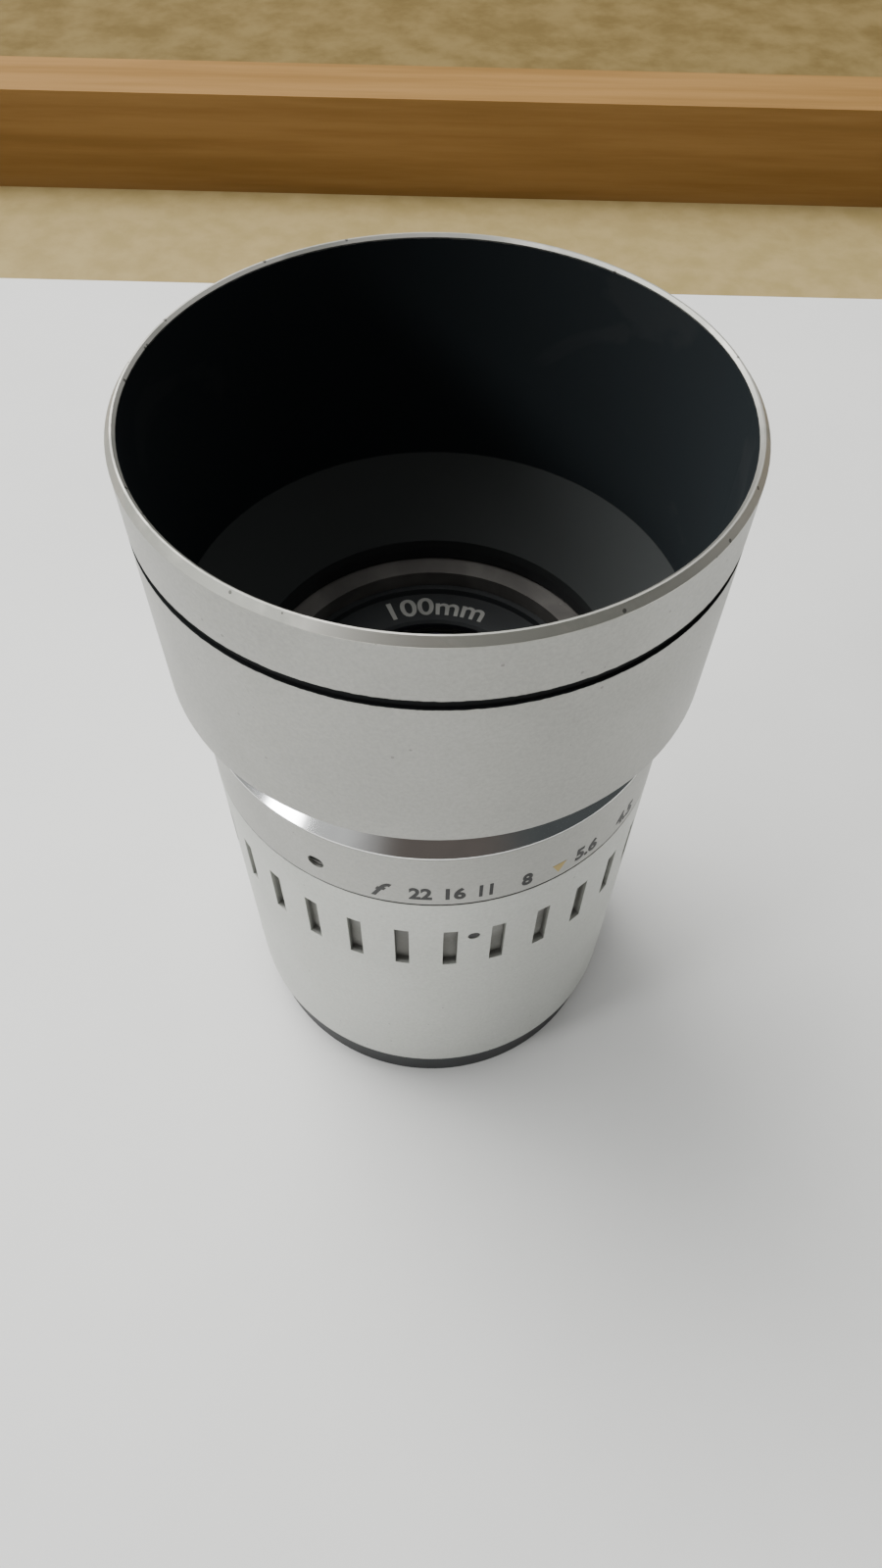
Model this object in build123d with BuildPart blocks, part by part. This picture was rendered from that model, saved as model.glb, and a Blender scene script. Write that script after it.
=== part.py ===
"""A short telephoto lens with a detachable drum hood, standing on its rear mount, front up.

Millimetres. +Z is the optical axis, pointing out of the front glass; z = 0 is the rear seat.
Angles round the lens are counted from -Y (the side with the aperture scale), positive
towards +X, which is counter-clockwise seen from the front.
"""
import os
from math import cos, degrees, radians, sin, sqrt

from build123d import *

# ---------------------------------------------------------------- driving sizes
run_gap = 0.08            # radial clearance of a turning or sliding fit
loose_gap = 0.3           # clearance between parts that never touch
screwed_gap = 0.1         # clearance where the real part has a thread
seat_gap = 0.02           # clearance of a part screwed or pressed home
bite = 0.1                # overlap that joins two features of one piece
overcut = 0.2             # how far a cutter starts outside the metal
edge_break = 0.1

# rear mount
mount_inset = 0.8         # how far the mount stands back from the sleeve
mount_height = 5.2
mount_wall = 1.3
mount_plate = 1.6
spigot_inset = 1.0        # the spigot is this much smaller than the helicoid
spigot_wall = 2.0
spigot_foot = 0.4
spigot_rise = 3.4         # length of the spigot above the mount's plate
tab_reach = 1.8
tab_height = 1.5
tab_angle = 50.0
tab_count = 3
mount_screw_radius = 0.6
mount_screw_head = 1.05
mount_screw_depth = 3.0
mount_screw_sink = 0.1
locating_pin_radius = 0.7
locating_pin_reach = 1.4
locating_pin_round = 0.3

# focusing movement
focus_turn = 216.0        # degrees from infinity to the near stop
focus_lead = 9.0          # advance in one whole turn
barrel_wall = 2.3         # tube that carries the inner helicoid
barrel_clear = 0.4        # from the spigot's top to the barrel at infinity
helicoid_wall = 2.2       # fixed tube round it
skirt_gap = 0.52          # between the fixed tube and the sleeve's skirt
stop_screw_angle = 170.0
stop_screw_rise = 3.5     # above the foot of the sleeve
stop_screw_radius = 1.0
stop_tip_radius = 0.7
stop_groove_depth = 1.0
stop_groove_spare = 4.0   # degrees of groove past each stop

# focusing sleeve
sleeve_radius = 24.0
sleeve_length = 42.0
sleeve_skirt_wall = 1.7
sleeve_land = 5.0         # length of the sleeve's seat on the head
sleeve_edge = 0.4
flute_count = 30
flute_width = 1.5
flute_depth = 0.8
flute_length = 7.5
flute_drop = 5.7          # from the sleeve's top to the flutes
flute_phase = 5.4
dot_angle = 11.2
dot_drop = 7.1
dot_radius = 0.65
dot_depth = 0.5
sleeve_screw_angles = (80.0, 180.0, 280.0)
sleeve_screw_drop = 2.7
grub_radius = 0.78
grub_depth = 0.8          # how far a grub screw bites into the head
grub_sink = 0.2

# head
ring_wall = 1.92
head_wall = 3.0
iris_step = 0.65          # from the head's shoulder to the seat of the iris
bezel_seat_wall = 0.8
bezel_seat_depth = 2.15
front_thread_step = 0.9   # the front thread is this much wider than the head's bore
cell_seat_drop = 3.85     # from the head's front edge to the front cell's seat

# aperture ring and its scale
ring_height = 8.3
ring_seam = 0.12
scale_marks = {"22": -1.9, "16": 6.1, "11": 13.1, "8": 23.0, "5.6": 39.5, "4.5": 53.5}
arm_angle = -26.8
ring_screw_drop = 1.05    # from the front cell's seat down to the ring's screw
ring_screw_radius = 0.85
ring_screw_tip = 0.5
ring_screw_recess = 0.25
screw_slot_width = 0.3
screw_slot_depth = 0.3
detent_angle = 140.0
detent_rise = 1.78
detent_ball_radius = 0.8
detent_ball_gap = 0.05
detent_groove_depth = 0.5
detent_groove_width = 2.0
detent_seat_wall = 0.4
spring_radius = 0.6
spring_wire = 0.2
notch_radius = 0.4

# iris
blade_count = 10
blade_thickness = 0.1
blade_pitch = 0.16        # height from one blade to the next
blade_reach = 6.2         # from a blade's pivot in to its optical edge
blade_band = 5.35
blade_start = 8.0
blade_end = 116.0
pivot_inset = 2.1         # from the head's bore to the pivots
drive_lead = 27.0         # angle from a blade's pivot to its drive pin
pin_radius = 0.45
pin_end_gap = 0.1
lug_radius = 0.85
blade_closing = 29.2      # degrees a blade turns between wide open and the smallest stop
iris_base_thickness = 0.95
iris_base_margin = 0.3    # from the blades' edge out to the base's bore
actuator_thickness = 0.8
actuator_margin = 0.7
actuator_gap = 0.15
arm_width = 2.4
arm_thickness = 0.8
arm_gap = 0.5             # from the actuator's arm out to the head
arm_rise = 0.8            # length of the arm above its screw
arm_slot_spare = 3.5      # degrees of slot past each stop
clip_radial = 0.7
clip_thickness = 0.4
clip_gap = 0.2
clip_play = 0.05
clip_opening = 30.0

# optics
front_glass_inset = 4.15  # from the front cell's mouth to the glass
front_glass_rise = 1.48   # the glass's crown above the foot of the name ring
front_glass_drop = 2.92   # the glass's seat below it
front_glass_space = 1.81  # from the middle glass's edge up to that seat
front_crown = 2.03        # depth of a curved face at its edge
front_back_crown = 1.26
middle_glass_inset = 0.55
middle_edge = 4.7
middle_front_hollow = 1.55
middle_back_hollow = 1.95
middle_ledge = 0.75
middle_ledge_height = 0.7
middle_retainer_width = 0.65
middle_retainer_height = 1.05
rear_glass_inset = 4.8    # from the barrel's bore to the glass
rear_vertex_rise = 1.2
rear_joint_drop = 5.0
rear_last_drop = 6.9
rear_front_crown = 1.56
rear_joint_crown = 2.9
rear_last_crown = 1.11
glass_fit = 0.05
cement_gap = 0.01

# front cell, name ring
cell_wall = 1.0
cell_flange = 0.55
name_ring_drop = 2.83     # from the front cell's seat to the foot of the name ring
name_ring_plate = 0.98
name_ring_lip = 0.6
name_ring_lip_width = 0.7
name_ring_overlap = 1.25
name_ring_bevel = 0.3
name_ring_cove = 0.2

# rear cell, baffle, coupling ring
rear_cell_drop = 0.85     # from the iris's seat to the rear cell
rear_ledge = 1.3
rear_ledge_height = 2.8
rear_cell_length = 9.0
rear_retainer_width = 1.05
rear_retainer_height = 1.7
spanner_slot_width = 1.2
spanner_slot_depth = 1.0
baffle_wall = 0.8
baffle_steps = 4
coupling_gap = 0.2
coupling_wall = 0.8
coupling_foot = 1.0
coupling_flange_rise = 1.6
coupling_flange_thickness = 1.3
key_width = 2.0
key_rise = 0.5            # from the mount's plate to the key
key_height = 2.0
key_angle = 90.0

# bezel and hood
bezel_rim = 0.2
bezel_rise = 1.4
bezel_bevel = 1.6
bezel_crest = 0.3
bezel_skirt = 1.3
hood_radius = 25.9
hood_wall = 0.9
hood_top = 86.5
hood_lip = 0.6
hood_lip_flat = 0.15      # level top of the rim, between its inner and outer bevels
hood_lip_inner = 0.25
hood_foot_round = 0.3
hood_groove_drop = 6.1    # from the rim to the groove
hood_groove_width = 0.8
hood_groove_depth = 0.25
hood_clear = 0.73         # between the bezel's crest and the hood's floor
cone_slope = 1.145        # rise of the hood's floor for each mm of radius
cone_drop = 1.15          # upright thickness of the hood's floor
collar_wall = 1.1
collar_clear = 0.2        # between the collar and the front cell
thread_pitch = 0.75
thread_depth = 0.25
thread_lead_in = 0.4

# ---------------------------------------------------------------- radii that follow, from the sleeve in
ring_radius = sleeve_radius
mount_radius = sleeve_radius - mount_inset
sleeve_skirt_bore = sleeve_radius - sleeve_skirt_wall
fixed_radius = sleeve_skirt_bore - skirt_gap
fixed_bore = fixed_radius - helicoid_wall
helicoid_radius = fixed_bore - run_gap
barrel_bore = helicoid_radius - barrel_wall
spigot_radius = helicoid_radius - spigot_inset
spigot_bore = spigot_radius - spigot_wall
coupling_radius = spigot_bore - coupling_gap
coupling_bore = coupling_radius - coupling_wall
ring_bore = ring_radius - ring_wall
head_radius = ring_bore - run_gap
head_bore = head_radius - head_wall
bezel_seat_radius = head_radius - bezel_seat_wall
front_thread_radius = head_bore + front_thread_step
detent_groove_radius = ring_bore + detent_groove_depth
pivot_circle = head_bore - pivot_inset
blade_inner = pivot_circle - blade_reach
iris_base_bore = blade_inner + iris_base_margin
actuator_bore = blade_inner + actuator_margin
actuator_radius = head_bore - run_gap
arm_radius = head_bore - arm_gap
cell_radius = arm_radius - arm_thickness - loose_gap
cell_mouth = cell_radius - cell_wall
front_glass_radius = cell_mouth - front_glass_inset
middle_glass_radius = front_glass_radius - middle_glass_inset
name_ring_bore = front_glass_radius - name_ring_overlap
rear_glass_radius = barrel_bore - rear_glass_inset
baffle_bore = rear_glass_radius - coupling_gap
crest_radius = ring_radius - bezel_bevel
collar_radius = front_thread_radius - screwed_gap
collar_bore = collar_radius - collar_wall
hood_bore = hood_radius - hood_wall

# ---------------------------------------------------------------- heights that follow
# The mount and sleeve count from the seat up, the head from its front edge down.
focus_travel = focus_lead * focus_turn / 360
plate_bottom = mount_height - mount_plate
sleeve_bottom = mount_height + loose_gap
spigot_top = mount_height + spigot_rise
key_bottom = mount_height + key_rise
stop_screw_height = sleeve_bottom + stop_screw_rise
barrel_bottom = spigot_top + barrel_clear
coupling_flange_bottom = barrel_bottom + coupling_flange_rise
coupling_flange_top = coupling_flange_bottom + coupling_flange_thickness
sleeve_top = sleeve_bottom + sleeve_length
flute_top = sleeve_top - flute_drop
flute_bottom = flute_top - flute_length
dot_height = sleeve_top - dot_drop
sleeve_screw_height = sleeve_top - sleeve_screw_drop
ring_bottom = sleeve_top + ring_seam
ring_top = ring_bottom + ring_height
head_top = ring_top - ring_seam
cell_shoulder = head_top - cell_seat_drop
ring_screw_height = cell_shoulder - ring_screw_drop
arm_top = ring_screw_height + arm_rise
detent_height = ring_bottom + detent_rise
name_ring_bottom = cell_shoulder - name_ring_drop
name_ring_face = name_ring_bottom + name_ring_plate
front_glass_vertex = name_ring_bottom + front_glass_rise
front_seat = name_ring_bottom - front_glass_drop
middle_seat = front_seat - front_glass_space - middle_edge
cell_bottom = middle_seat - middle_ledge_height
clip_z = cell_bottom - clip_gap - clip_thickness
actuator_z = clip_z - clip_gap - actuator_thickness
blade_first_z = actuator_z - actuator_gap - blade_thickness - blade_pitch * (blade_count - 1)
iris_base_z = blade_first_z - pin_end_gap - iris_base_thickness
head_shoulder = iris_base_z - iris_step
rear_cell_top = iris_base_z - rear_cell_drop
rear_seat = rear_cell_top - rear_ledge_height
rear_cell_bottom = rear_seat - rear_cell_length
rear_vertex = rear_seat + rear_vertex_rise
rear_joint_vertex = rear_seat - rear_joint_drop
rear_last_vertex = rear_seat - rear_last_drop
baffle_top = rear_cell_bottom - coupling_gap
baffle_bottom = coupling_flange_top + coupling_gap
bezel_bottom = ring_top + run_gap
bezel_foot = head_top - bezel_seat_depth + glass_fit
bevel_top = bezel_bottom + bezel_rim + bezel_rise
hood_floor = bevel_top + hood_clear + cone_drop - (crest_radius - collar_bore) * cone_slope
hood_groove_top = hood_top - hood_groove_drop

# ---------------------------------------------------------------- angles that follow
open_turn = dot_angle - scale_marks["4.5"]
shut_turn = dot_angle - scale_marks["22"]
blade_ratio = blade_closing / (shut_turn - open_turn)
blade_rest = -open_turn * blade_ratio
pivot_step = 360 / blade_count


def outward(angle):
    """Unit vector that points away from the axis at an angle round the lens."""
    return Vector(sin(radians(angle)), -cos(radians(angle)), 0)


def radial_plane(angle, height, radius):
    """Plane that faces outwards, with its Y along the lens's axis."""
    along = Vector(cos(radians(angle)), sin(radians(angle)), 0)
    return Plane(origin=outward(angle) * radius + Vector(0, 0, height), x_dir=along, z_dir=outward(angle))


def half_plane(angle):
    """Plane through the axis in which X is radius and Y is height."""
    side = Vector(cos(radians(angle)), sin(radians(angle)), 0)
    return Plane(origin=(0, 0, 0), x_dir=outward(angle), z_dir=side * -1)


def sag(curve, radius):
    """Depth of a spherical face of this curve at this radius."""
    return curve - sqrt(curve * curve - radius * radius)


def curve_of(crown, radius):
    """Radius of the sphere whose face is this deep at this radius."""
    return (radius * radius + crown * crown) / (2 * crown)


def cone_z(radius):
    """Height of the inside of the hood's sloping floor."""
    return hood_floor + (radius - collar_bore) * cone_slope


def save(part, name):
    """Label a finished piece and write its STEP file."""
    part.label = name
    export_step(part, f"parts/{name}.step")


os.makedirs("parts", exist_ok=True)

# ---------------------------------------------------------------- rear mount
skirt_bore = mount_radius - mount_wall
screw_circle = (fixed_bore + fixed_radius) / 2
screw_angles = [(i + 0.5) * 360 / tab_count for i in range(tab_count)]

with BuildPart() as rear_mount:
    with BuildSketch(Plane.XZ):
        with BuildLine():
            Polyline(
                (spigot_bore, spigot_foot), (spigot_radius, spigot_foot),
                (spigot_radius, plate_bottom), (skirt_bore, plate_bottom),
                (skirt_bore, 0), (mount_radius - edge_break, 0), (mount_radius, edge_break),
                (mount_radius, mount_height), (spigot_radius, mount_height),
                (spigot_radius, spigot_top), (spigot_bore, spigot_top),
                close=True,
            )
        make_face()
    revolve(axis=Axis.Z)
    for i in range(tab_count):
        with BuildSketch(half_plane(i * 360 / tab_count - tab_angle / 2)):
            with BuildLine():
                Polyline(
                    (spigot_radius - bite, spigot_foot), (spigot_radius + tab_reach, spigot_foot),
                    (spigot_radius + tab_reach, spigot_foot + tab_height),
                    (spigot_radius - bite, spigot_foot + tab_height),
                    close=True,
                )
            make_face()
        revolve(axis=Axis.Z, revolution_arc=tab_angle)
    with BuildSketch(radial_plane(key_angle, key_bottom + key_height / 2, spigot_radius + overcut)):
        Rectangle(key_width + 2 * seat_gap, key_height + 2 * seat_gap)
    extrude(amount=-(spigot_wall + 2 * overcut), mode=Mode.SUBTRACT)
    for angle in screw_angles:
        place = outward(angle) * screw_circle
        with Locations((place.X, place.Y, plate_bottom)):
            Cylinder(mount_screw_radius + seat_gap, mount_plate,
                     align=(Align.CENTER, Align.CENTER, Align.MIN), mode=Mode.SUBTRACT)
            Cylinder(mount_screw_head + seat_gap, mount_plate / 2,
                     align=(Align.CENTER, Align.CENTER, Align.MIN), mode=Mode.SUBTRACT)
    pin_place = outward(0) * screw_circle
    with Locations((pin_place.X, pin_place.Y, plate_bottom)):
        Cylinder(locating_pin_radius + seat_gap, mount_plate / 2,
                 align=(Align.CENTER, Align.CENTER, Align.MIN), mode=Mode.SUBTRACT)
save(rear_mount.part, "rear_mount")

with BuildPart() as mount_screws:
    for angle in screw_angles:
        place = outward(angle) * screw_circle
        with BuildSketch(Plane.XY.offset(plate_bottom + mount_screw_sink)):
            with Locations((place.X, place.Y)):
                Circle(mount_screw_head)
        extrude(amount=mount_plate / 2 - mount_screw_sink)
        with BuildSketch(Plane.XY.offset(plate_bottom + mount_plate / 2)):
            with Locations((place.X, place.Y)):
                Circle(mount_screw_radius)
        extrude(amount=mount_plate / 2 + mount_screw_depth)
        with Locations((place.X, place.Y, plate_bottom + mount_screw_sink)):
            Box(2 * mount_screw_head, screw_slot_width, screw_slot_depth,
                rotation=(0, 0, angle), align=(Align.CENTER, Align.CENTER, Align.MIN),
                mode=Mode.SUBTRACT)
save(mount_screws.part, "mount_screws")

with BuildPart() as locating_pin:
    with BuildSketch(Plane.XY.offset(plate_bottom - locating_pin_reach)):
        with Locations((pin_place.X, pin_place.Y)):
            Circle(locating_pin_radius)
    extrude(amount=locating_pin_reach + mount_plate / 2 - seat_gap)
    fillet(locating_pin.edges().sort_by(Axis.Z)[0], locating_pin_round)
save(locating_pin.part, "locating_pin")

with BuildPart() as guide_key:
    with BuildSketch(radial_plane(key_angle, key_bottom + key_height / 2, spigot_radius - seat_gap)):
        Rectangle(key_width, key_height)
    extrude(amount=-(spigot_wall - seat_gap + coupling_wall + screwed_gap))
save(guide_key.part, "guide_key")

# ---------------------------------------------------------------- fixed helicoid tube
pocket_floor = fixed_radius - stop_groove_depth
pocket_bottom = stop_screw_height - stop_screw_radius
pocket_top = stop_screw_height + focus_travel + stop_screw_radius
tube_top = head_shoulder - barrel_clear

with BuildPart() as fixed_barrel:
    with BuildSketch(Plane.XZ):
        with BuildLine():
            Polyline(
                (fixed_bore, mount_height), (fixed_radius, mount_height),
                (fixed_radius, tube_top - edge_break), (fixed_radius - edge_break, tube_top),
                (fixed_bore, tube_top),
                close=True,
            )
        make_face()
    revolve(axis=Axis.Z)
    with BuildSketch(half_plane(stop_screw_angle - stop_groove_spare)):
        with BuildLine():
            Polyline(
                (pocket_floor, pocket_bottom), (fixed_radius + overcut, pocket_bottom),
                (fixed_radius + overcut, pocket_top), (pocket_floor, pocket_top),
                close=True,
            )
        make_face()
    revolve(axis=Axis.Z, revolution_arc=focus_turn + 2 * stop_groove_spare, mode=Mode.SUBTRACT)
    for angle in screw_angles:
        place = outward(angle) * screw_circle
        with Locations((place.X, place.Y, mount_height)):
            Cylinder(mount_screw_radius + seat_gap, mount_screw_depth + screwed_gap,
                     align=(Align.CENTER, Align.CENTER, Align.MIN), mode=Mode.SUBTRACT)
save(fixed_barrel.part, "fixed_barrel")

# ---------------------------------------------------------------- distance coupling ring
with BuildPart() as coupling_ring:
    with BuildSketch(Plane.XZ):
        with BuildLine():
            Polyline(
                (coupling_bore, coupling_foot), (coupling_radius, coupling_foot),
                (coupling_radius, coupling_flange_bottom),
                (barrel_bore - screwed_gap, coupling_flange_bottom),
                (barrel_bore - screwed_gap, coupling_flange_top), (coupling_bore, coupling_flange_top),
                close=True,
            )
        make_face()
    revolve(axis=Axis.Z)
    slot_top = key_bottom + key_height + loose_gap
    with BuildSketch(radial_plane(key_angle, slot_top / 2, coupling_radius + overcut)):
        Rectangle(key_width + 2 * run_gap, slot_top)
    extrude(amount=-(coupling_wall + 2 * overcut), mode=Mode.SUBTRACT)
save(coupling_ring.part, "coupling_ring")

# ---------------------------------------------------------------- head barrel
with BuildPart() as head_barrel:
    with BuildSketch(Plane.XZ):
        with BuildLine():
            Polyline(
                (barrel_bore, barrel_bottom), (helicoid_radius, barrel_bottom),
                (helicoid_radius, head_shoulder), (head_radius, head_shoulder),
                (head_radius, head_top), (bezel_seat_radius, head_top),
                (bezel_seat_radius, head_top - bezel_seat_depth),
                (front_thread_radius, head_top - bezel_seat_depth),
                (front_thread_radius, cell_shoulder), (head_bore, cell_shoulder),
                (head_bore, iris_base_z), (barrel_bore, iris_base_z),
                close=True,
            )
        make_face()
    revolve(axis=Axis.Z)
    with BuildSketch(Plane.XZ):
        with BuildLine():
            Polyline(
                (head_bore - overcut, clip_z - clip_play),
                (head_bore + clip_radial / 2, clip_z - clip_play),
                (head_bore + clip_radial / 2, clip_z + clip_thickness + clip_play),
                (head_bore - overcut, clip_z + clip_thickness + clip_play),
                close=True,
            )
        make_face()
    revolve(axis=Axis.Z, mode=Mode.SUBTRACT)
    with BuildSketch(half_plane(arm_angle + open_turn - arm_slot_spare)):
        with Locations(((head_bore + head_radius) / 2, ring_screw_height)):
            Rectangle(head_wall + 2 * overcut, 2 * ring_screw_tip + 2 * loose_gap)
    revolve(axis=Axis.Z, revolution_arc=shut_turn - open_turn + 2 * arm_slot_spare, mode=Mode.SUBTRACT)
    with BuildSketch(radial_plane(detent_angle, detent_height, head_radius + overcut)):
        Circle(detent_ball_radius + detent_ball_gap)
    extrude(amount=-(head_wall - detent_seat_wall + overcut), mode=Mode.SUBTRACT)
    for angle in sleeve_screw_angles:
        with BuildSketch(radial_plane(angle, sleeve_screw_height, head_radius + overcut)):
            Circle(grub_radius + seat_gap)
        extrude(amount=-(grub_depth + 2 * overcut), mode=Mode.SUBTRACT)
save(head_barrel.part, "head_barrel")

# ---------------------------------------------------------------- focusing sleeve
with BuildPart() as focusing_sleeve:
    with BuildSketch(Plane.XZ):
        with BuildLine():
            Polyline(
                (sleeve_skirt_bore, sleeve_bottom), (sleeve_radius - sleeve_edge, sleeve_bottom),
                (sleeve_radius, sleeve_bottom + sleeve_edge), (sleeve_radius, sleeve_top - edge_break),
                (sleeve_radius - edge_break, sleeve_top), (head_radius + seat_gap, sleeve_top),
                (head_radius + seat_gap, sleeve_top - sleeve_land),
                (sleeve_skirt_bore, sleeve_top - sleeve_land),
                close=True,
            )
        make_face()
    revolve(axis=Axis.Z)
    for i in range(flute_count):
        flute_angle = flute_phase + i * 360 / flute_count
        with BuildSketch(radial_plane(flute_angle, (flute_bottom + flute_top) / 2, sleeve_radius + overcut)):
            Rectangle(flute_width, flute_top - flute_bottom)
        extrude(amount=-(flute_depth + overcut), mode=Mode.SUBTRACT)
    with BuildSketch(radial_plane(dot_angle, dot_height, sleeve_radius + overcut)):
        Circle(dot_radius)
    extrude(amount=-(dot_depth + overcut), mode=Mode.SUBTRACT)
    for angle in sleeve_screw_angles:
        with BuildSketch(radial_plane(angle, sleeve_screw_height, sleeve_radius + overcut)):
            Circle(grub_radius + seat_gap)
        extrude(amount=-(sleeve_radius - head_radius + 2 * overcut), mode=Mode.SUBTRACT)
    with BuildSketch(radial_plane(stop_screw_angle, stop_screw_height, sleeve_radius + overcut)):
        Circle(stop_screw_radius + seat_gap)
    extrude(amount=-(sleeve_skirt_wall + 2 * overcut), mode=Mode.SUBTRACT)
save(focusing_sleeve.part, "focusing_sleeve")

with BuildPart() as index_dot:
    with BuildSketch(radial_plane(dot_angle, dot_height, sleeve_radius - edge_break)):
        Circle(dot_radius - seat_gap)
    extrude(amount=-(dot_depth - edge_break - seat_gap))
save(index_dot.part, "index_dot")

with BuildPart() as sleeve_screws:
    for angle in sleeve_screw_angles:
        with BuildSketch(radial_plane(angle, sleeve_screw_height, sleeve_radius - grub_sink)):
            Circle(grub_radius)
        extrude(amount=-(sleeve_radius - head_radius + grub_depth))
        with BuildSketch(radial_plane(angle, sleeve_screw_height, sleeve_radius - grub_sink)):
            Rectangle(2 * grub_radius, screw_slot_width)
        extrude(amount=-screw_slot_depth, mode=Mode.SUBTRACT)
save(sleeve_screws.part, "sleeve_screws")

with BuildPart() as stop_screw:
    with BuildSketch(radial_plane(stop_screw_angle, stop_screw_height, sleeve_radius - grub_sink)):
        Circle(stop_screw_radius)
    extrude(amount=-(sleeve_skirt_wall - grub_sink))
    with BuildSketch(radial_plane(stop_screw_angle, stop_screw_height, sleeve_skirt_bore)):
        Circle(stop_tip_radius)
    extrude(amount=-(skirt_gap + stop_groove_depth - loose_gap))
    with BuildSketch(radial_plane(stop_screw_angle, stop_screw_height, sleeve_radius - grub_sink)):
        Rectangle(2 * stop_screw_radius, screw_slot_width)
    extrude(amount=-screw_slot_depth, mode=Mode.SUBTRACT)
save(stop_screw.part, "stop_screw")

# ---------------------------------------------------------------- ring that holds the coupling ring
with BuildPart() as coupling_retainer:
    with BuildSketch(Plane.XY.offset(barrel_bottom + coupling_gap)):
        Circle(barrel_bore - seat_gap)
        Circle(coupling_radius + coupling_gap, mode=Mode.SUBTRACT)
    extrude(amount=coupling_flange_rise - 2 * coupling_gap)
save(coupling_retainer.part, "coupling_retainer")

# ---------------------------------------------------------------- aperture ring
with BuildPart() as aperture_ring:
    with BuildSketch(Plane.XZ):
        with BuildLine():
            Polyline(
                (ring_bore, ring_bottom), (ring_radius - edge_break, ring_bottom),
                (ring_radius, ring_bottom + edge_break), (ring_radius, ring_top), (ring_bore, ring_top),
                (ring_bore, detent_height + detent_groove_width / 2),
                (detent_groove_radius, detent_height + detent_groove_width / 2),
                (detent_groove_radius, detent_height - detent_groove_width / 2),
                (ring_bore, detent_height - detent_groove_width / 2),
                close=True,
            )
        make_face()
    revolve(axis=Axis.Z)
    for mark in scale_marks.values():
        notch = outward(detent_angle + mark - dot_angle) * detent_groove_radius
        with Locations((notch.X, notch.Y, detent_height)):
            Cylinder(notch_radius, detent_groove_width, mode=Mode.SUBTRACT)
    with BuildSketch(radial_plane(arm_angle, ring_screw_height, ring_radius + overcut)):
        Circle(ring_screw_radius + seat_gap)
    extrude(amount=-(ring_wall + 2 * overcut), mode=Mode.SUBTRACT)
save(aperture_ring.part, "aperture_ring")

with BuildPart() as aperture_screw:
    with BuildSketch(radial_plane(arm_angle, ring_screw_height, ring_radius - ring_screw_recess)):
        Circle(ring_screw_radius)
    extrude(amount=-(ring_wall - ring_screw_recess))
    with BuildSketch(radial_plane(arm_angle, ring_screw_height, ring_bore)):
        Circle(ring_screw_tip)
    extrude(amount=-(ring_bore - arm_radius + arm_thickness - screwed_gap))
    with BuildSketch(radial_plane(arm_angle, ring_screw_height, ring_radius - ring_screw_recess)):
        Rectangle(2 * ring_screw_radius, screw_slot_width)
    extrude(amount=-screw_slot_depth, mode=Mode.SUBTRACT)
save(aperture_screw.part, "aperture_screw")


# ---------------------------------------------------------------- iris
def pivot_at(index):
    """Pivot of a blade, as a vector from the axis."""
    turn = radians(index * pivot_step)
    return Vector(pivot_circle * cos(turn), pivot_circle * sin(turn), 0)


drive_x = pivot_circle * cos(radians(drive_lead)) - pivot_circle
drive_y = pivot_circle * sin(radians(drive_lead))


def drive_pin_at(index, closing):
    """Drive pin of a blade that has closed by this angle from wide open."""
    turn = radians(index * pivot_step + closing)
    arm = Vector(drive_x * cos(turn) - drive_y * sin(turn), drive_x * sin(turn) + drive_y * cos(turn), 0)
    return pivot_at(index) + arm


def slot_path(index, steps=12):
    """Where the drive pin runs in the actuator, from wide open to the smallest stop."""
    path = []
    for k in range(steps + 1):
        ring_turn = open_turn + (shut_turn - open_turn) * k / steps
        pin = drive_pin_at(index, (ring_turn - open_turn) * blade_ratio)
        path.append(pin.rotate(Axis.Z, -ring_turn))
    return path


def slot_sides(path, half):
    """The two edges of a slot of this half width, and its two rounded ends."""
    left, right = [], []
    for k, point in enumerate(path):
        ahead = path[min(k + 1, len(path) - 1)] - path[max(k - 1, 0)]
        normal = Vector(-ahead.Y, ahead.X, 0).normalized() * half
        left.append(point + normal)
        right.append(point - normal)
    first = path[0] + (path[0] - path[1]).normalized() * half
    last = path[-1] + (path[-1] - path[-2]).normalized() * half
    return left, right, first, last


with BuildPart() as iris_base:
    with BuildSketch(Plane.XY.offset(iris_base_z)):
        Circle(head_bore - run_gap)
        Circle(iris_base_bore, mode=Mode.SUBTRACT)
        with PolarLocations(pivot_circle, blade_count):
            Circle(pin_radius + run_gap, mode=Mode.SUBTRACT)
    extrude(amount=iris_base_thickness)
save(iris_base.part, "iris_base")

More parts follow.
